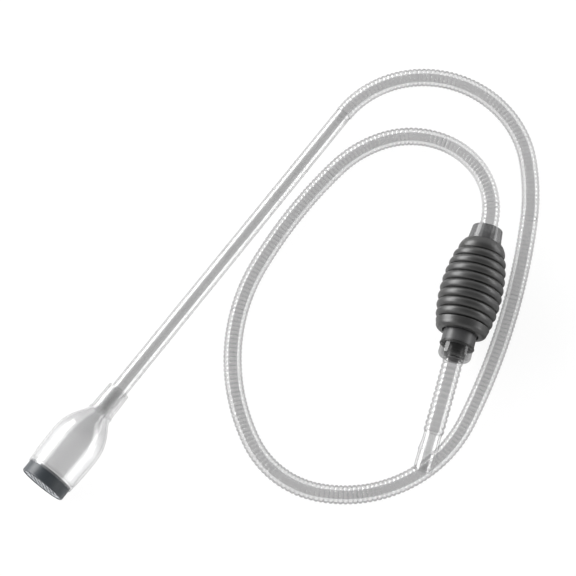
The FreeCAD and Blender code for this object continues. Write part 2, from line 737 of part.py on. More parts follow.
def outlet_cuff():
    """Smooth two-step cuff with a ring round its waist and an open socket for a drain fitting."""
    bead_end = CUFF_BEAD_AT + CUFF_BEAD_LENGTH
    socket = CUFF_LENGTH - CUFF_SOCKET_LENGTH
    outline = Outline(0.0, CUFF_THROAT_RADIUS)
    outline.line(0.0, CUFF_START_RADIUS)
    outline.curve([(4.0, CUFF_WAIST_RADIUS), (10.0, 8.9), (CUFF_BEAD_AT, CUFF_FLARE_RADIUS)])
    bead_top = (CUFF_BEAD_AT + CUFF_BEAD_LENGTH / 2, CUFF_BEAD_RADIUS)
    outline.arc(bead_top, (bead_end, CUFF_FLARE_RADIUS - 0.4))
    outline.lines([(CUFF_LENGTH - 1.0, CUFF_END_RADIUS), (CUFF_LENGTH, CUFF_END_RADIUS - 0.5)])
    outline.lines([(CUFF_LENGTH, CUFF_SOCKET_RADIUS), (socket, CUFF_SOCKET_RADIUS)])
    outline.line(socket, CUFF_THROAT_RADIUS)
    return on_cuff(outline.turned())


def pieces():
    """Every piece of the siphon by name."""
    made = {
        "strainer_ring": strainer_ring,
        "strainer_grid": strainer_grid,
        "nozzle_bell": nozzle_bell,
        "nozzle_collar": nozzle_collar,
        "collar_bush": collar_bush,
        "lift_tube": lift_tube,
        "inlet_connector": inlet_connector,
        "inlet_valve_seat": inlet_valve_seat,
        "inlet_valve_disc": inlet_valve_disc,
        "squeeze_bulb": squeeze_bulb,
        "outlet_collar": outlet_collar,
        "outlet_o_ring": outlet_o_ring,
        "outlet_connector": outlet_connector,
        "outlet_valve_seat": outlet_valve_seat,
        "outlet_valve_disc": outlet_valve_disc,
        "outlet_hose": outlet_hose,
        "outlet_cuff": outlet_cuff,
    }
    for number, (name, ribs) in enumerate(HOSE_SECTIONS):
        made[name] = lambda number=number: hose_section(number)
    return made


def main():
    os.makedirs("parts", exist_ok=True)
    for name, make in pieces().items():
        shape = make()
        shape.exportStep("parts/" + name + ".step")
        print(name, "solids", len(shape.Solids), "volume", round(shape.Volume, 1), "valid", shape.isValid())


if __name__ == "__main__":
    main()
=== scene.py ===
import bpy
import json
import math
import numpy as np
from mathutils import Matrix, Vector

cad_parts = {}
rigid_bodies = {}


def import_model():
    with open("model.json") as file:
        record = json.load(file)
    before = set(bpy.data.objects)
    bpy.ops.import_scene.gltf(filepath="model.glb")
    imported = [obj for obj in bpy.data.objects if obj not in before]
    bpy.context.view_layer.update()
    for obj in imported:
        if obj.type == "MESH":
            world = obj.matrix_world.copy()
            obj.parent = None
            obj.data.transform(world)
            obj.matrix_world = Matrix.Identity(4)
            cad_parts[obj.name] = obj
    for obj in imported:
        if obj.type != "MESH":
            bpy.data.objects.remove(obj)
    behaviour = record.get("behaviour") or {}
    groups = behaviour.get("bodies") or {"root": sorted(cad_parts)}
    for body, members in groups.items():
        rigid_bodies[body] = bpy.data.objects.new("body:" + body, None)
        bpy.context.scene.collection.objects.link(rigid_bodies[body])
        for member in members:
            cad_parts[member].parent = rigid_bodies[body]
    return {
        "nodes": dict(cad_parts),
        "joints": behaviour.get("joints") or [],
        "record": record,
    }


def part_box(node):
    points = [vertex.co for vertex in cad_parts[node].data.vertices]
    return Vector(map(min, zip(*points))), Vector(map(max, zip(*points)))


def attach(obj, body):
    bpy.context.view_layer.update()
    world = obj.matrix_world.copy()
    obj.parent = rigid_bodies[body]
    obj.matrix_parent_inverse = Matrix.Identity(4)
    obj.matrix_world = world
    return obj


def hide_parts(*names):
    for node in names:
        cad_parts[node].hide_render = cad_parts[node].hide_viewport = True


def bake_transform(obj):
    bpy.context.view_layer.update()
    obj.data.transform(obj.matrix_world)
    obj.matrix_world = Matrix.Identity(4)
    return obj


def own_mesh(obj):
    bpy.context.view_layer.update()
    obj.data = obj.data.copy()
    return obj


# Looks of the gravel vacuum siphon, in metres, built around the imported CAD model.
# The clear hose, the outlet hose and the squeeze bulb are new meshes. Every other piece is the CAD
# node with a material of its own. The hose starts at the end of the CAD lift tube and ends at the
# CAD inlet connector.

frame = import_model()
bpy.context.view_layer.update()

MM = 0.001
CLEAR_LAYERS = 40               # clear surfaces that one ray may pass

# ---- Camera and stage ----------------------------------------------------------------------------
LOOK_AT = Vector((-1.7, -7.5, 0.0)) * MM
CAMERA_DISTANCE = 1.7
CAMERA_ELEVATION = math.radians(72.3)
CAMERA_LENS = 106.25
FLOOR_SIZE = 14.0
FLOOR_DEPTH = 0.05 * MM         # below the lowest piece
FLOOR_GLOW = 0.85               # to the eye the floor is mostly a lit table, which keeps shadows faint
FLOOR_RADIANCE = 1.05
SKY_STOPS = [(0.0, 1.05), (0.45, 1.0), (0.7, 0.5), (1.0, 0.22)]     # brightness from horizon to zenith
LIT_POINT = (0.0, 0.0, 0.05)    # where the soft lights point

# ---- Main hose -----------------------------------------------------------------------------------
HOSE_STRETCHES = [              # length in mm and turn in degrees of each curve, from the lift tube
    (84.0, -46.5),
    (165.0, -90.2),
    (65.0, -16.1),
    (219.0, -18.0),
    (172.0, -73.5),
    (84.0, -53.3),
    (186.0, -55.1),
    (133.0, -15.3),
    (57.0, -27.0),
    (77.0, -57.0),
    (97.5, -67.2),
]
LEVELLING_LENGTH = 40.0 * MM    # the hose leaves the sloping tube and lies flat over this length
PUMP_RISE_LENGTH = 170.0 * MM   # the hose climbs from the floor to the pump over this length
RIB_PITCH = 4.51 * MM
HOSE_CREST = 9.1 * MM
HOSE_ROOT = 7.85 * MM
HOSE_WALL = 0.9 * MM
HOSE_TAIL_GAP = 3.5 * MM        # smooth hose between the last rib and the inlet connector
HOSE_TAIL = 13.9 * MM           # smooth end inside the inlet connector
HOSE_TAIL_RADIUS = 8.85 * MM
HOSE_SPIGOT = 7.0 * MM          # smooth end inside the lift tube
HOSE_SPIGOT_RADIUS = 7.1 * MM
HOSE_SHOULDER = 0.1 * MM        # between the smooth end and the first rib
TAIL_SHOULDER = 1.0 * MM        # between the last rib and the smooth end
TAIL_SHOULDER_DROP = 0.3 * MM   # how far below the smooth end it starts
RIB_STEPS = 10                  # rows of faces in one rib
RIB_ROUNDNESS = 0.62            # below 1 the crests are full and the grooves narrow
HOSE_SIDES = 44
HOSE_RIBS = {                   # ribs in each section, from the lift tube to the pump
    "hose_01_wand_flex": 20,
    "hose_02_wand_lead": 8,
    "hose_03_swing_flex": 22,
    "hose_04_outer_arc": 19,
    "hose_05_outer_arc": 19,
    "hose_06_lift_flex": 22,
    "hose_07_lower_loop": 19,
    "hose_08_lower_loop": 19,
    "hose_09_lower_loop": 19,
    "hose_10_lower_loop": 19,
    "hose_11_lower_loop": 19,
    "hose_12_lower_loop": 19,
    "hose_13_lower_loop": 19,
    "hose_14_swing_flex": 21,
    "hose_15_pump_lead": 8,
    "hose_16_lift_flex": 20,
    "hose_17_pump_end": 5,
}
# Flexing sections whose joint has its parent body on the pump's side
PARENT_AT_END = ("hose_01_wand_flex", "hose_03_swing_flex", "hose_06_lift_flex")
HOSE_LENGTH = RIB_PITCH * sum(HOSE_RIBS.values())
SHARP_RIB = 60.0                # degrees between faces of a hose that stay a crisp edge

# ---- Outlet hose ---------------------------------------------------------------------------------
OUTLET_PITCH = 5.78 * MM
OUTLET_RIBS = 13
OUTLET_CREST = 10.0 * MM
OUTLET_ROOT = 8.5 * MM
OUTLET_PLAIN = 7.8 * MM         # smooth end inside the outlet connector
OUTLET_SHOULDER = 0.6 * MM      # between that end and the first rib
OUTLET_TURN = -1.0              # degrees
OUTLET_DROOP = 3.0              # degrees

FLEX_MARGIN = 7.0 * MM          # distance in from each end of a flexing section, where its end points are taken


# ---- The frame's axes and points -----------------------------------------------------------------

def joint(name):
    return next(each for each in frame["joints"] if each["name"] == name)


def node_points(node):
    mesh = frame["nodes"][node].data
    points = np.empty(len(mesh.vertices) * 3)
    mesh.vertices.foreach_get("co", points)
    return points.reshape(-1, 3)


class Axis:
    """A straight line through the CAD model, with distances measured along it from its start."""

    def __init__(self, start, towards):
        self.start = np.array(start, float)
        self.towards = np.array(towards, float) / np.linalg.norm(towards)

    def at(self, along):
        return self.start + self.towards * along

    def direction(self, along):
        """The same at every distance. The curved lines have this function too."""
        return self.towards

    def span(self, node):
        """Lowest and highest distance along the axis that a CAD node reaches."""
        along = (node_points(node) - self.start) @ self.towards
        return along.min(), along.max()

    def from_end_of(self, node):
        """The same axis, measured from the near end of a CAD node."""
        return Axis(self.at(self.span(node)[0]), self.towards)

    def heading(self):
        return math.degrees(math.atan2(self.towards[1], self.towards[0]))


def wand_axis():
    """From the strainer's face to the hose."""
    turn = joint("nozzle_turn")
    return Axis(turn["pos_m"], turn["axis"]).from_end_of("strainer_ring")


def pump_axis():
    """From the mouth of the inlet connector to the outlet."""
    towards = -np.array(joint("bulb_squeeze")["axis"])
    low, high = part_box("outlet_o_ring")
    return Axis((low + high) / 2, towards).from_end_of("inlet_connector")


WAND = wand_axis()
PUMP = pump_axis()


# ---- Centre lines --------------------------------------------------------------------------------

def heading_vector(heading, climb=0.0):
    flat = math.cos(math.radians(climb))
    x = flat * math.cos(math.radians(heading))
    y = flat * math.sin(math.radians(heading))
    return np.array([x, y, math.sin(math.radians(climb))])


def eased(share):
    """From 0 to 1, slow at both ends."""
    return (1 - math.cos(math.pi * max(0.0, min(1.0, share)))) / 2


class HoseLine:
    """Centre line of the main hose, by distance from the end of the lift tube."""

    def __init__(self):
        self.start = WAND.at(WAND.span("lift_tube")[1])
        self.fall = -WAND.towards[2] / math.hypot(WAND.towards[0], WAND.towards[1])
        self.rest = self.start[2] - self.fall * LEVELLING_LENGTH / 2

    def height(self, distance):
        if distance < 0:
            return self.start[2] - self.fall * distance
        left = max(0.0, LEVELLING_LENGTH - distance)
        climb = eased((distance - HOSE_LENGTH + PUMP_RISE_LENGTH) / PUMP_RISE_LENGTH)
        level = self.rest + self.fall * left * left / (2 * LEVELLING_LENGTH)
        return level + (PUMP.start[2] - self.rest) * climb

    def at(self, distance):
        heading = WAND.heading()
        place = self.start[:2].copy()
        rest = distance
        for length_mm, turn in HOSE_STRETCHES:
            length = length_mm * MM
            part = min(rest, length)
            bend = turn * part / length if distance > 0 else 0.0
            half = math.radians(bend / 2)
            chord = part * (math.sin(half) / half if half else 1.0)
            place += heading_vector(heading + bend / 2)[:2] * chord
            heading += bend
            rest -= part
            if rest <= 0:
                break
        place += heading_vector(heading)[:2] * max(rest, 0.0)
        return np.array([place[0], place[1], self.height(distance)])

    def direction(self, distance):
        probe = RIB_PITCH / 8
        ahead = self.at(distance + probe) - self.at(distance - probe)
        return ahead / np.linalg.norm(ahead)


class OutletLine:
    """Centre line of the outlet hose, by distance from the outlet connector."""

    def __init__(self):
        self.start = PUMP.at(PUMP.span("outlet_connector")[1])
        self.length = OUTLET_PITCH * OUTLET_RIBS

    def at(self, distance):
        if distance < 0:
            return self.start + PUMP.towards * distance
        share = min(distance / self.length, 1.0)
        middle = heading_vector(PUMP.heading() + OUTLET_TURN * share / 2, -OUTLET_DROOP * share / 2)
        return self.start + middle * distance

    def direction(self, distance):
        share = max(0.0, min(distance / self.length, 1.0))
        return heading_vector(PUMP.heading() + OUTLET_TURN * share, -OUTLET_DROOP * share)


HOSE = HoseLine()
OUTLET = OutletLine()


# ---- Meshes --------------------------------------------------------------------------------------

AROUND = "around"               # map of a swept piece: share of a turn, and metres along its line


def new_piece(name, points, faces, material, sharp_degrees):
    mesh = bpy.data.meshes.new(name)
    mesh.from_pydata([tuple(point) for point in points], [], faces)
    mesh.polygons.foreach_set("use_smooth", [True] * len(mesh.polygons))
    mesh.set_sharp_from_angle(angle=math.radians(sharp_degrees))
    mesh.materials.append(material)
    mesh.update()
    piece = bpy.data.objects.new(name, mesh)
    bpy.context.scene.collection.objects.link(piece)
    return piece


def ring(line, distance, radius, sides):
    """Points of a ring round a centre line."""
    ahead = line.direction(distance)
    side = np.cross([0.0, 0.0, 1.0], ahead)
    side = side / np.linalg.norm(side)
    rise = np.cross(ahead, side)
    turns = np.arange(sides) * 2 * math.pi / sides
    return line.at(distance) + radius * (np.outer(np.cos(turns), side) + np.outer(np.sin(turns), rise))


def swept(name, line, outline, sides, material, sharp_degrees):
    """Closed round piece: a closed outline of distances and radii turned about a centre line."""
    points = np.concatenate([ring(line, along, radius, sides) for along, radius in outline])
    faces = []
    places = []
    rows = len(outline)
    for row in range(rows):
        here, there = row * sides, (row + 1) % rows * sides
        near, far = outline[row][0], outline[(row + 1) % rows][0]
        for number in range(sides):
            after = (number + 1) % sides
            faces.append((here + number, there + number, there + after, here + after))
            left, right = number / sides, (number + 1) / sides
            places += [left, near, left, far, right, far, right, near]
    piece = new_piece(name, points, faces, material, sharp_degrees)
    piece.data.uv_layers.new(name=AROUND).data.foreach_set("uv", places)
    return piece


def rib_outline(start, ribs, pitch, crest, root):
    """Distances and radii of a corrugated wall, from groove to groove."""
    rows = []
    for number in range(ribs):
        for step in range(RIB_STEPS):
            share = step / RIB_STEPS
            swell = math.sin(math.pi * share) ** RIB_ROUNDNESS if step else 0.0
            rows.append((start + (number + share) * pitch, root + (crest - root) * swell))
    rows.append((start + ribs * pitch, root))
    return rows


def hollow(rows, wall):
    """Closed outline of a tube wall, outside one way and inside back again."""
    inside = [(along, radius - wall) for along, radius in reversed(rows)]
    return list(reversed(rows + inside))


# ---- Shader helpers ------------------------------------------------------------------------------

class Shader:
    """A node material under construction."""

    def __init__(self, name):
        self.material = bpy.data.materials.new(name)
        self.material.use_nodes = True
        self.tree = self.material.node_tree
        self.tree.nodes.clear()
        self.place = self.add("ShaderNodeTexCoord").outputs["Object"]

    def add(self, kind, **inputs):
        node = self.tree.nodes.new(kind)
        for name, value in inputs.items():
            self.fill(node.inputs[name.replace("_", " ")], value)
        return node

    def fill(self, socket, value):
        if isinstance(value, bpy.types.NodeSocket):
            self.tree.links.new(value, socket)
        else:
            socket.default_value = value

    def noise(self, size, detail=3.0, roughness=0.55):
        """Noise whose grains are about one size, in metres."""
        return self.add("ShaderNodeTexNoise", Vector=self.place, Scale=1 / size, Detail=detail,
                        Roughness=roughness).outputs["Fac"]

    def scaled(self, value, low, high, from_low=0.3, from_high=0.7):
        """A value carried from one range to another. Noise mostly lies between 0.3 and 0.7."""
        node = self.add("ShaderNodeMapRange", Value=value)
        node.inputs["From Min"].default_value = from_low
        node.inputs["From Max"].default_value = from_high
        node.inputs["To Min"].default_value = low
        node.inputs["To Max"].default_value = high
        return node.outputs["Result"]

    def ramp(self, value, stops):
        node = self.add("ShaderNodeValToRGB", Fac=value)
        set_stops(node.color_ramp, stops)
        return node.outputs["Color"]

    def grey(self, value):
        return self.add("ShaderNodeCombineColor", Red=value, Green=value, Blue=value).outputs[0]

    def maths(self, operation, first, second=0.0):
        node = self.add("ShaderNodeMath")
        node.operation = operation
        self.fill(node.inputs[0], first)
        self.fill(node.inputs[1], second)
        return node.outputs[0]

    def colour_mix(self, blend, share, first, second):
        """Two colours blended. Sockets 6 and 7 are the Mix node's colours, and output 2 its result."""
        node = self.add("ShaderNodeMix")
        node.data_type = "RGBA"
        node.blend_type = blend
        self.fill(node.inputs[0], share)
        self.fill(node.inputs[6], first)
        self.fill(node.inputs[7], second)
        return node.outputs[2]

    def shader_mix(self, share, first, second):
        node = self.add("ShaderNodeMixShader")
        self.fill(node.inputs[0], share)
        self.fill(node.inputs[1], first)
        self.fill(node.inputs[2], second)
        return node.outputs[0]

    def bump(self, height, depth):
        """Bump whose full height is a depth in metres."""
        return self.add("ShaderNodeBump", Height=height, Distance=depth, Strength=1.0).outputs[0]

    def facing(self):
        """0 where the surface faces the eye, 1 where it is seen edge on."""
        return self.add("ShaderNodeLayerWeight", Blend=0.5).outputs["Facing"]

    def normal(self):
        """Which way the surface faces, in the piece's own space."""
        return self.add("ShaderNodeTexCoord").outputs["Normal"]

    def across(self):
        """How far out a place on a swept piece is seen: 0 along the middle line, 1 at the edge."""
        tangent = self.add("ShaderNodeTangent")
        tangent.direction_type = "UV_MAP"
        tangent.uv_map = AROUND
        sight = self.add("ShaderNodeNewGeometry").outputs["Incoming"]
        return self.maths("ABSOLUTE", self.vector("DOT_PRODUCT", tangent.outputs[0], sight))

    def across_axis(self, axis):
        """The same for a round piece with a straight axis, given in the piece's own space."""
        turn = self.add("ShaderNodeVectorTransform")
        turn.vector_type = "VECTOR"
        turn.convert_from = "WORLD"
        turn.convert_to = "OBJECT"
        self.fill(turn.inputs[0], self.add("ShaderNodeNewGeometry").outputs["Incoming"])
        sight = self.vector("NORMALIZE", self.vector("CROSS_PRODUCT", turn.outputs[0], axis))
        around = self.vector("NORMALIZE", self.vector("CROSS_PRODUCT", self.normal(), axis))
        product = self.vector("DOT_PRODUCT", sight, around)
        square = self.maths("SUBTRACT", 1.0, self.maths("MULTIPLY", product, product))
        return self.maths("SQRT", self.maths("MAXIMUM", square, 0.0))

    def vector(self, operation, first, second=(0.0, 0.0, 0.0)):
        node = self.add("ShaderNodeVectorMath")
        node.operation = operation
        self.fill(node.inputs[0], first)
        self.fill(node.inputs[1], second)
        return node.outputs["Value" if operation == "DOT_PRODUCT" else "Vector"]

    def beyond(self, point, direction):
        """How many metres a place lies past a plane, in the piece's own space."""
        return self.vector("DOT_PRODUCT", self.vector("SUBTRACT", self.place, point), direction)

    def along(self):
        """Metres along the centre line of a swept piece."""
        place = self.add("ShaderNodeUVMap")
        place.uv_map = AROUND
        return self.add("ShaderNodeSeparateXYZ", Vector=place.outputs[0]).outputs["Y"]

    def done(self, surface):
        self.add("ShaderNodeOutputMaterial", Surface=surface)
        return self.material


def rgba(colour):
    if isinstance(colour, (int, float)):
        return (colour, colour, colour, 1.0)
    return (*colour, 1.0)


def set_stops(ramp, stops):
    while len(ramp.elements) < len(stops):
        ramp.elements.new(0.5)
    for element, (position, colour) in zip(ramp.elements, stops):
        element.position = position
        element.color = rgba(colour)


# ---- Materials -----------------------------------------------------------------------------------

GLOSS_BASE = 0.045              # mirror share of a clear plastic seen straight on
GLOSS_RIM = 0.30                # and how much it gains towards the rim
GLOSS_RIM_POWER = 4.0
RIB_GROOVE_SHADE = 0.955        # painted shade: what a groove of a ribbed hose lets through, next to a crest
RIB_MIDDLE_GLOSS = 0.25         # mirror share along a ribbed hose's middle line, next to its edges
RIB_MIDDLE = (0.40, 0.55)       # how far out that share starts to rise, and where it is whole
TILTED_SHADE = 0.78             # painted shade: what a shoulder or end face lets through, next to a straight wall
COVERED_CLEAR = 0.97            # what a wall lets through where it sits inside another clear piece
COVER_EDGE = 0.3 * MM           # blur of the line where the cover starts
CLOUD_SHADE = 0.985             # faint clouds in a clear plastic
CLEAR_SHADOW = 0.93             # what one surface lets through of a light
GRAIN_SHARE = 0.04              # of the fine grain, next to the slow waves of a moulded surface

VINYL_HAZE = (0.80, 0.79, 0.80)
CLEAR_HAZE = (0.85, 0.85, 0.85)
BELL_HAZE = (0.86, 0.86, 0.88)
BUSH_HAZE = (0.50, 0.50, 0.50)
SMOKY_HAZE = (0.11, 0.11, 0.113)
OUTLET_HAZE = (0.04, 0.04, 0.04)
CAP_BLUE_BLACK = (0.030, 0.036, 0.042)
# painted shade on the walls of the grid's holes
GRID_HOLE_SHADE = (0.010, 0.012, 0.015)
GRID_PALE = (0.44, 0.46, 0.49)
COLLAR_GREY = (0.050, 0.050, 0.051)
SEAL_BLACK = (0.008, 0.008, 0.008)
VALVE_BLACK = (0.006, 0.006, 0.006)
DISC_BLACK = (0.010, 0.010, 0.010)

# What one surface of each clear piece lets through, from the middle line of the piece to its edges.
# Most are darkest at the edges, palest just inside them and a little greyer along the middle. This is
# painted light and shade: painted shade at the edges and along the middle, painted light in the pale
# strips.
HOSE_STOPS = [(0.0, 0.81), (0.46, 0.81), (0.56, 0.935), (0.86, 0.94), (0.96, 0.58), (1.0, 0.40)]
TUBE_STOPS = [(0.0, 0.80), (0.45, 0.81), (0.52, 0.935), (0.88, 0.94), (0.95, 0.72), (1.0, 0.45)]
COLLAR_STOPS = [(0.0, 0.80), (0.64, 0.81), (0.70, 0.95), (0.90, 0.95), (0.96, 0.70), (1.0, 0.45)]
CUFF_STOPS = [(0.0, 0.87), (0.40, 0.87), (0.47, 0.94), (0.88, 0.94), (0.95, 0.72), (1.0, 0.45)]
BELL_STOPS = [(0.0, 0.84), (0.42, 0.84), (0.47, 0.955), (0.90, 0.955), (0.97, 0.85), (1.0, 0.70)]
BUSH_STOPS = [(0.0, 0.96), (0.4, 0.96), (0.5, 0.985), (1.0, 0.97)]
SMOKY_STOPS = [(0.0, 0.52), (0.35, 0.58), (0.75, 0.46), (1.0, 0.15)]
OUTLET_STOPS = [(0.0, 0.40), (0.3, 0.52), (0.6, 0.70), (0.85, 0.62), (1.0, 0.20)]


def rib_shade(shader, pitch):
    """Painted shade: the grooves of a ribbed hose let less through than its crests."""
    phase = shader.maths("FRACT", shader.maths("DIVIDE", shader.along(), pitch))
    crest = shader.maths("SINE", shader.maths("MULTIPLY", phase, math.pi))
    return shader.scaled(crest, RIB_GROOVE_SHADE, 1.0, from_low=0.2, from_high=0.9)


def tilt_shade(shader, axis):
    """Painted shade: the shoulders and end faces of a turned piece let less through than its straight
    walls.
    """
    tilt = shader.maths("ABSOLUTE", shader.vector("DOT_PRODUCT", shader.normal(), axis))
    return shader.scaled(tilt, 1.0, TILTED_SHADE, from_low=0.05, from_high=1.0)


def mirror_share(shader, ribbed):
    """How much of the light a clear surface mirrors: more towards its rim."""
    rim = shader.maths("MULTIPLY", shader.maths("POWER", shader.facing(), GLOSS_RIM_POWER), GLOSS_RIM)
    share = shader.maths("ADD", rim, GLOSS_BASE)
    if ribbed:
        low, high = RIB_MIDDLE
        middle = shader.scaled(shader.across(), RIB_MIDDLE_GLOSS, 1.0, from_low=low, from_high=high)
        share = shader.maths("MULTIPLY", share, middle)
    return share


def clear_plastic(name, stops, haze, haze_colour, roughness, waviness, axis=None, rib_pitch=None,
                  covered=None):
    """See-through plastic. An axis belongs to a straight round piece, a rib pitch to a swept hose, and
    with neither of them the stops run from facing the eye to edge on. Covered gives where the piece
    sits inside another clear piece, and there its walls hardly show."""
    shader = Shader(name)
    wave = shader.noise(9 * MM, detail=2.0)
    grain = shader.noise(0.5 * MM, detail=2.0)
    height = shader.maths("ADD", wave, shader.maths("MULTIPLY", grain, GRAIN_SHARE))
    normal = shader.bump(height, waviness)
    clouds_and_shade = shader.scaled(shader.noise(30 * MM), CLOUD_SHADE, 1.0)
    # the stops paint light and shade across the piece, and the groove and tilt factors paint shade
    if rib_pitch is not None:
        through = shader.ramp(shader.across(), stops)
        # painted shade in the grooves, multiplied into the clouds
        clouds_and_shade = shader.maths("MULTIPLY", clouds_and_shade, rib_shade(shader, rib_pitch))
    elif axis is not None:
        through = shader.ramp(shader.across_axis(axis), stops)
        # painted shade on the shoulders and end faces, multiplied into the clouds
        clouds_and_shade = shader.maths("MULTIPLY", clouds_and_shade, tilt_shade(shader, axis))
    else:
        through = shader.ramp(shader.facing(), stops)
    if covered is not None:
        through = shader.colour_mix("MIX", covered(shader), through, rgba(COVERED_CLEAR))
    tint = shader.colour_mix("MULTIPLY", 1.0, through, shader.grey(clouds_and_shade))
    clear = shader.add("ShaderNodeBsdfTransparent", Color=tint).outputs[0]
    frost = shader.add("ShaderNodeBsdfDiffuse", Color=rgba(haze_colour), Normal=normal).outputs[0]
    frost_share = shader.scaled(shader.noise(14 * MM), haze * 0.8, haze * 1.2)
    body = shader.shader_mix(frost_share, clear, frost)
    rough = shader.scaled(grain, roughness * 0.8, roughness * 1.25)
    gloss = shader.add("ShaderNodeBsdfGlossy", Color=rgba(1.0), Roughness=rough, Normal=normal)
    surface = shader.shader_mix(mirror_share(shader, rib_pitch is not None), body, gloss.outputs[0])
    shade = shader.add("ShaderNodeBsdfTransparent", Color=rgba(CLEAR_SHADOW)).outputs[0]
    in_shadow = shader.add("ShaderNodeLightPath").outputs["Is Shadow Ray"]
    return shader.done(shader.shader_mix(in_shadow, surface, shade))


def vinyl(name, rib_pitch):
    """Clear vinyl of a ribbed hose, whose first end sits inside a socket."""

    def in_socket(shader):
        return shader.maths("LESS_THAN", shader.along(), 0.0)

    return clear_plastic(name, HOSE_STOPS, 0.04, VINYL_HAZE, 0.10, 0.01 * MM,
                         rib_pitch=rib_pitch, covered=in_socket)


def clear_moulding(name, stops, axis, covered=None):
    """Clear polished plastic of a straight round piece."""
    return clear_plastic(name, stops, 0.03, CLEAR_HAZE, 0.06, 0.02 * MM, axis=axis, covered=covered)


def tube_plastic(axis):
    """Clear plastic of the lift tube, whose low end sits inside the collar."""
    collar_top = tuple(WAND.at(WAND.span("nozzle_collar")[1]))

    def in_collar(shader):
        return shader.scaled(shader.beyond(collar_top, axis), 1.0, 0.0,
                             from_low=-COVER_EDGE, from_high=0.0)

    return clear_moulding("tube_plastic", TUBE_STOPS, axis, in_collar)


def grid_plastic(axis):
    """The strainer's grid: pale on the faces that look out, with painted shade inside the holes."""
    shader = Shader("grid_plastic")
    outward = shader.maths("ABSOLUTE", shader.vector("DOT_PRODUCT", shader.normal(), axis))
    # painted shade: the walls of the holes turn dark, the outward faces keep the grid's pale colour
    pale = shader.ramp(outward, [(0.5, GRID_HOLE_SHADE), (0.8, GRID_PALE)])
    uneven = shader.scaled(shader.noise(1.5 * MM, detail=4.0), 0.75, 1.15)
    speckled = shader.colour_mix("MULTIPLY", 1.0, pale, shader.grey(uneven))
    grain = shader.noise(0.3 * MM, detail=3.0, roughness=0.7)
    body = shader.add("ShaderNodeBsdfPrincipled", Base_Color=speckled,
                      Roughness=shader.scaled(grain, 0.28, 0.4), Normal=shader.bump(grain, 0.02 * MM))
    return shader.done(body.outputs[0])


def solid_plastic(name, colour, mottle, roughness, grain_depth):
    """Opaque moulded plastic or rubber with a fine grain and slightly uneven colour."""
    shader = Shader(name)
    uneven = shader.noise(11 * MM, detail=4.0)
    shades = shader.ramp(uneven, [(0.3, [part * (1 - mottle) for part in colour]),
                                  (0.7, [part * (1 + mottle) for part in colour])])
    grain = shader.noise(0.3 * MM, detail=3.0, roughness=0.7)
    mixed = shader.maths("MULTIPLY", shader.maths("ADD", grain, uneven), 0.5)
    rough = shader.scaled(mixed, roughness * 0.85, roughness * 1.15)
    body = shader.add("ShaderNodeBsdfPrincipled", Base_Color=shades, Roughness=rough,
                      Normal=shader.bump(grain, grain_depth))
    return shader.done(body.outputs[0])


def bulb_rubber():
    """Dark grey moulded rubber, paler on the rib crests, with painted shade darkening the grooves."""
    shader = Shader("bulb_rubber")
    uneven = shader.noise(16 * MM, detail=4.0)
    base = shader.ramp(uneven, [(0.3, (0.015, 0.015, 0.015)), (0.7, (0.024, 0.0235, 0.0225))])
    # painted shade: darker where the surface curves into the grooves, paler on the rib crests
    crease_shade = shader.ramp(shader.add("ShaderNodeNewGeometry").outputs["Pointiness"],
                         [(0.40, 0.25), (0.49, 1.0), (0.56, 1.25)])
    shades = shader.colour_mix("MULTIPLY", 1.0, base, crease_shade)
    grain = shader.noise(0.45 * MM, detail=3.0, roughness=0.7)
    speck = shader.noise(3 * MM, detail=5.0)
    rough = shader.scaled(speck, 0.30, 0.42)
    height = shader.maths("ADD", grain, shader.maths("MULTIPLY", speck, 0.5))
    body = shader.add("ShaderNodeBsdfPrincipled", Base_Color=shades, Roughness=rough,
                      Normal=shader.bump(height, 0.05 * MM), Specular_IOR_Level=0.75)
    return shader.done(body.outputs[0])


def make_materials():
    wand = tuple(WAND.towards)
    cuff = tuple(OUTLET.direction(OUTLET.length))
    return {
        "hose": vinyl("hose_vinyl", RIB_PITCH),
        "outlet_hose": vinyl("outlet_vinyl", OUTLET_PITCH),
        "tube": tube_plastic(wand),
        "clear_collar": clear_moulding("collar_plastic", COLLAR_STOPS, wand),
        "cuff": clear_moulding("cuff_plastic", CUFF_STOPS, cuff),
        "bell": clear_plastic("bell_plastic", BELL_STOPS, 0.06, BELL_HAZE, 0.10, 0.02 * MM, axis=wand),
        "bush": clear_plastic("bush_plastic", BUSH_STOPS, 0.04, BUSH_HAZE, 0.20, 0.01 * MM, axis=wand),
        "smoky": clear_plastic("smoky_plastic", SMOKY_STOPS, 0.34, SMOKY_HAZE, 0.08, 0.04 * MM),
        "outlet": clear_plastic("outlet_plastic", OUTLET_STOPS, 0.07, OUTLET_HAZE, 0.06, 0.03 * MM),
        "cap": solid_plastic("cap_plastic", CAP_BLUE_BLACK, 0.10, 0.36, 0.02 * MM),
        "grid": grid_plastic(wand),
        "collar": solid_plastic("collar_dark", COLLAR_GREY, 0.08, 0.34, 0.015 * MM),
        "seal": solid_plastic("seal_rubber", SEAL_BLACK, 0.10, 0.45, 0.02 * MM),
        "valve": solid_plastic("valve_plastic", VALVE_BLACK, 0.10, 0.40, 0.02 * MM),
        "disc": solid_plastic("valve_rubber", DISC_BLACK, 0.10, 0.60, 0.02 * MM),
        "bulb": bulb_rubber(),
    }


# ---- Hose pieces ---------------------------------------------------------------------------------

def flexes(node):
    """The joint that a CAD node bends with, or None."""
    for each in frame["joints"]:
        if node in [part["node"] for part in each.get("deforming_nodes", [])]:
            return each
    return None


def body_of_node(node):
    bodies = frame["record"]["behaviour"]["bodies"]
    return next(body for body, nodes in bodies.items() if node in nodes)


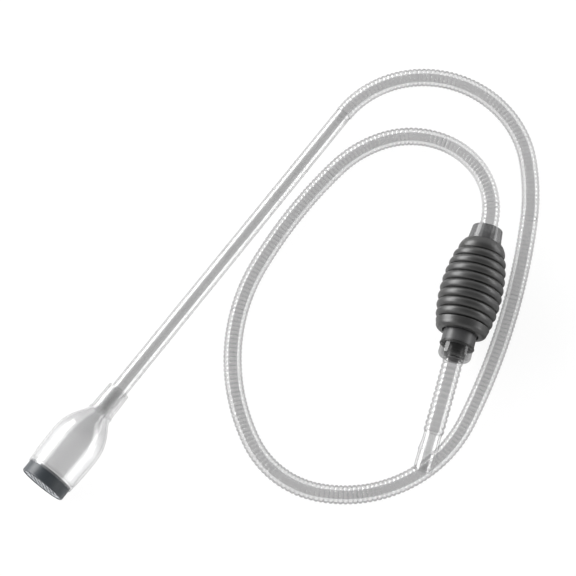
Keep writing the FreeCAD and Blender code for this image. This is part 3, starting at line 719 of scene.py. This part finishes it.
def carry(piece, node, line, start, end):
    """A hose piece rides on the body of its CAD node; a piece that flexes with a joint is left where
    it is.
    """
    bend = flexes(node)
    if bend is None:
        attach(piece, body_of_node(node))
        return
    near, far = bend["parent"], bend["child"]
    if node in PARENT_AT_END:
        near, far = far, near
    first, last = line.at(start + FLEX_MARGIN), line.at(end - FLEX_MARGIN)
    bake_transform(piece)


def make_hose_piece(node, line, rows, start, end, material):
    """A length of hose, from the distances and radii of its outside, in place of its CAD node."""
    piece = swept(node + "_vinyl", line, hollow(rows, HOSE_WALL), HOSE_SIDES, material, SHARP_RIB)
    carry(piece, node, line, start, end)
    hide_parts(node)


def make_hose(material):
    nodes = list(HOSE_RIBS)
    start = 0.0
    for node, ribs in HOSE_RIBS.items():
        rows = rib_outline(start, ribs, RIB_PITCH, HOSE_CREST, HOSE_ROOT)
        end = start + ribs * RIB_PITCH
        if node == nodes[0]:
            spigot = [(start - HOSE_SPIGOT, HOSE_SPIGOT_RADIUS),
                      (start - HOSE_SHOULDER, HOSE_SPIGOT_RADIUS)]
            rows = spigot + rows[1:]
        if node == nodes[-1]:
            tail_end = end + HOSE_TAIL_GAP + HOSE_TAIL
            tail = [(end, HOSE_TAIL_RADIUS - TAIL_SHOULDER_DROP),
                    (end + TAIL_SHOULDER, HOSE_TAIL_RADIUS), (tail_end, HOSE_TAIL_RADIUS)]
            rows = rows[:-1] + tail
        make_hose_piece(node, HOSE, rows, start, end, material)
        start = end


def make_outlet_hose(material):
    ribbed = rib_outline(0.0, OUTLET_RIBS, OUTLET_PITCH, OUTLET_CREST, OUTLET_ROOT)
    rows = [(-OUTLET_PLAIN, OUTLET_CREST), (-OUTLET_SHOULDER, OUTLET_CREST)] + ribbed
    make_hose_piece("outlet_hose", OUTLET, rows, 0.0, OUTLET.length, material)


# ---- Squeeze bulb --------------------------------------------------------------------------------

BULB_SIDES = 128
GROOVES = 9
FIRST_GROOVE = 12.75 * MM       # from the bulb's inlet end
GROOVE_PITCH = 9.14 * MM
GROOVE_DEPTH = 3.2 * MM
INLET_ROUNDING = 1.2 * MM       # how much the rim at the inlet end draws in
BULB_MIDDLE = 55.05 * MM        # widest place, from the inlet end
INLET_REACH = 72.0 * MM         # half lengths of the two ellipses that meet at the widest place
OUTLET_REACH = 64.0 * MM
BULB_EDGE = 5.0 * MM            # rounding at the outlet end
EDGE_STEPS = 8
BULB_WALL = 4.4 * MM
BULB_MOUTH = 14.05 * MM
MOUTH_DEPTH = 3.0 * MM          # of the straight mouth at each end, before the hollow widens
HOLLOW_STEPS = 16
BULB_LIP = 18.4 * MM            # lip that stands round the collar at the outlet end
BULB_LIP_DEPTH = 3.5 * MM
BULB_LIP_TAPER = 1.0 * MM
BULB_LIP_FLOOR = 2.0 * MM       # straight mouth below the lip
LOBE_STEPS = 16
LOBE_FULLNESS = 0.6             # below 1 the ribs are full and the grooves narrow
DOME_STEPS = 20
DOME_RISE = 0.3125              # share of the dome over which it rises out of the last groove
SHARP_BULB = 65.0               # degrees between faces of the bulb that stay a crisp edge


def bulb_swell(along, widest):
    """Radius of the bulb without its grooves."""
    reach = INLET_REACH if along < BULB_MIDDLE else OUTLET_REACH
    share = (along - BULB_MIDDLE) / reach
    return widest * math.sqrt(1 - share * share)


def lobe_dip(share):
    """How far a rounded rib draws in, from 1 in a groove to 0 on its crest half way along."""
    return 1 - math.sin(math.pi * share) ** LOBE_FULLNESS


def bulb_ribs(grooves, widest):
    """Distances and radii of the ribs, from the inlet end to the last groove."""
    rows = []
    for low, high in zip([0.0] + grooves, grooves):
        for step in range(LOBE_STEPS):
            share = step / LOBE_STEPS
            along = low + (high - low) * share
            depth = GROOVE_DEPTH if low > 0 or share > 0.5 else INLET_ROUNDING
            rows.append((along, bulb_swell(along, widest) - depth * lobe_dip(share)))
    return rows


def bulb_dome(start, length, widest):
    """From the last groove over the smooth dome and round the edge at the outlet end."""
    rows = []
    edge_start = length - BULB_EDGE
    for step in range(DOME_STEPS + 1):
        share = step / DOME_STEPS
        along = start + (edge_start - start) * share
        dip = GROOVE_DEPTH * max(0.0, lobe_dip(min(share / DOME_RISE / 2, 0.5)))
        rows.append((along, bulb_swell(along, widest) - dip))
    corner = rows[-1][1]
    for step in range(1, EDGE_STEPS + 1):
        turn = math.pi / 2 * step / EDGE_STEPS
        drop = BULB_EDGE * (1 - math.cos(turn))
        rows.append((edge_start + BULB_EDGE * math.sin(turn), corner - drop))
    return rows


def bulb_inside(length, widest):
    """From the lip at the outlet end through the hollow to the mouth at the inlet end."""
    lip_floor = length - BULB_LIP_DEPTH
    rows = [(length, BULB_LIP), (lip_floor, BULB_LIP - BULB_LIP_TAPER), (lip_floor, BULB_MOUTH),
            (lip_floor - BULB_LIP_FLOOR, BULB_MOUTH)]
    for step in range(1, HOLLOW_STEPS):
        along = length - MOUTH_DEPTH - (length - 2 * MOUTH_DEPTH) * step / HOLLOW_STEPS
        inside = bulb_swell(along, widest) - BULB_WALL - GROOVE_DEPTH / 2
        rows.append((along, max(BULB_MOUTH, inside)))
    return rows + [(MOUTH_DEPTH, BULB_MOUTH), (0.0, BULB_MOUTH)]


def bulb_outline(start, end, widest):
    """Half section of the bulb: rounded ribs, a smooth dome, a lip and the hollow inside."""
    length = end - start
    grooves = [FIRST_GROOVE + number * GROOVE_PITCH for number in range(GROOVES)]
    rows = bulb_ribs(grooves, widest)
    rows += bulb_dome(grooves[-1], length, widest)
    rows += bulb_inside(length, widest)
    return [(start + along, radius) for along, radius in reversed(rows)]


def make_bulb(material):
    start, end = PUMP.span("squeeze_bulb")
    points = node_points("squeeze_bulb") - PUMP.start
    widest = np.linalg.norm(points - np.outer(points @ PUMP.towards, PUMP.towards), axis=1).max()
    outline = bulb_outline(start, end, widest)
    piece = swept("bulb_shell", PUMP, outline, BULB_SIDES, material, SHARP_BULB)
    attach(piece, "pump")
    tuple(PUMP.at(start))
    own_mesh(piece)
    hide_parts("squeeze_bulb")


# ---- CAD pieces ----------------------------------------------------------------------------------

FINISHES = {
    "strainer_ring": "cap",
    "strainer_grid": "grid",
    "nozzle_bell": "bell",
    "nozzle_collar": "clear_collar",
    "collar_bush": "bush",
    "lift_tube": "tube",
    "inlet_connector": "smoky",
    "inlet_valve_seat": "valve",
    "inlet_valve_disc": "disc",
    "outlet_collar": "collar",
    "outlet_o_ring": "seal",
    "outlet_connector": "outlet",
    "outlet_valve_seat": "valve",
    "outlet_valve_disc": "disc",
    "outlet_cuff": "cuff",
}


def finish_cad_nodes(materials):
    for node, finish in FINISHES.items():
        for slot in frame["nodes"][node].material_slots:
            slot.link = "OBJECT"
            slot.material = materials[finish]


# ---- Stage ---------------------------------------------------------------------------------------

def make_floor():
    half = FLOOR_SIZE / 2
    mesh = bpy.data.meshes.new("floor")
    corners = [(-half, -half, 0), (half, -half, 0), (half, half, 0), (-half, half, 0)]
    mesh.from_pydata(corners, [], [(0, 1, 2, 3)])
    floor = bpy.data.objects.new("floor", mesh)
    floor.location.z = -FLOOR_DEPTH
    bpy.context.scene.collection.objects.link(floor)
    shader = Shader("floor_paper")
    shade = shader.scaled(shader.noise(0.4, detail=2.0), 0.86, 0.88)
    paper = shader.add("ShaderNodeBsdfDiffuse", Color=shader.grey(shade)).outputs[0]
    glow = shader.add("ShaderNodeEmission", Color=rgba(1.0), Strength=FLOOR_RADIANCE).outputs[0]
    seen = shader.add("ShaderNodeLightPath").outputs["Is Camera Ray"]
    glow_share = shader.maths("MULTIPLY", seen, FLOOR_GLOW)
    mesh.materials.append(shader.done(shader.shader_mix(glow_share, paper, glow)))


def add_softbox(name, place, width, height, radiance):
    """A rectangular soft light, equally bright all over, that shines at the object."""
    lamp = bpy.data.lights.new(name, "AREA")
    lamp.shape = "RECTANGLE"
    lamp.size = width
    lamp.size_y = height
    lamp.energy = radiance * math.pi * width * height
    holder = bpy.data.objects.new(name, lamp)
    holder.location = place
    holder.rotation_mode = "QUATERNION"
    holder.rotation_quaternion = (Vector(LIT_POINT) - Vector(place)).to_track_quat("-Z", "Y")
    holder.visible_camera = False
    bpy.context.scene.collection.objects.link(holder)


def make_lights():
    world = bpy.data.worlds.new("studio")
    world.use_nodes = True
    tree = world.node_tree
    tree.nodes.clear()
    place = tree.nodes.new("ShaderNodeTexCoord")
    split = tree.nodes.new("ShaderNodeSeparateXYZ")
    ramp = tree.nodes.new("ShaderNodeValToRGB")
    sky = tree.nodes.new("ShaderNodeBackground")
    out = tree.nodes.new("ShaderNodeOutputWorld")
    tree.links.new(place.outputs["Generated"], split.inputs[0])
    tree.links.new(split.outputs["Z"], ramp.inputs["Fac"])
    tree.links.new(ramp.outputs["Color"], sky.inputs["Color"])
    tree.links.new(sky.outputs[0], out.inputs["Surface"])
    set_stops(ramp.color_ramp, SKY_STOPS)
    bpy.context.scene.world = world
    add_softbox("left_softbox", place=(-1.75, 0.8, 0.70), width=3.6, height=1.2, radiance=7.0)
    add_softbox("right_softbox", place=(2.0, 0.2, 0.55), width=2.6, height=0.7, radiance=3.0)


def make_camera():
    lens = bpy.data.cameras.new("camera")
    lens.lens = CAMERA_LENS
    lens.clip_start = 0.01
    camera = bpy.data.objects.new("camera", lens)
    back = Vector((0.0, -math.cos(CAMERA_ELEVATION), math.sin(CAMERA_ELEVATION)))
    camera.location = LOOK_AT + back * CAMERA_DISTANCE
    camera.rotation_mode = "QUATERNION"
    camera.rotation_quaternion = (-back).to_track_quat("-Z", "Y")
    bpy.context.scene.collection.objects.link(camera)
    bpy.context.scene.camera = camera


def write_sizes():
    bpy.context.view_layer.update()


bpy.context.scene.view_settings.view_transform = "Standard"
bpy.context.scene.cycles.transparent_max_bounces = CLEAR_LAYERS
materials = make_materials()
make_hose(materials["hose"])
make_outlet_hose(materials["outlet_hose"])
make_bulb(materials["bulb"])
finish_cad_nodes(materials)
make_floor()
make_lights()
make_camera()
write_sizes()
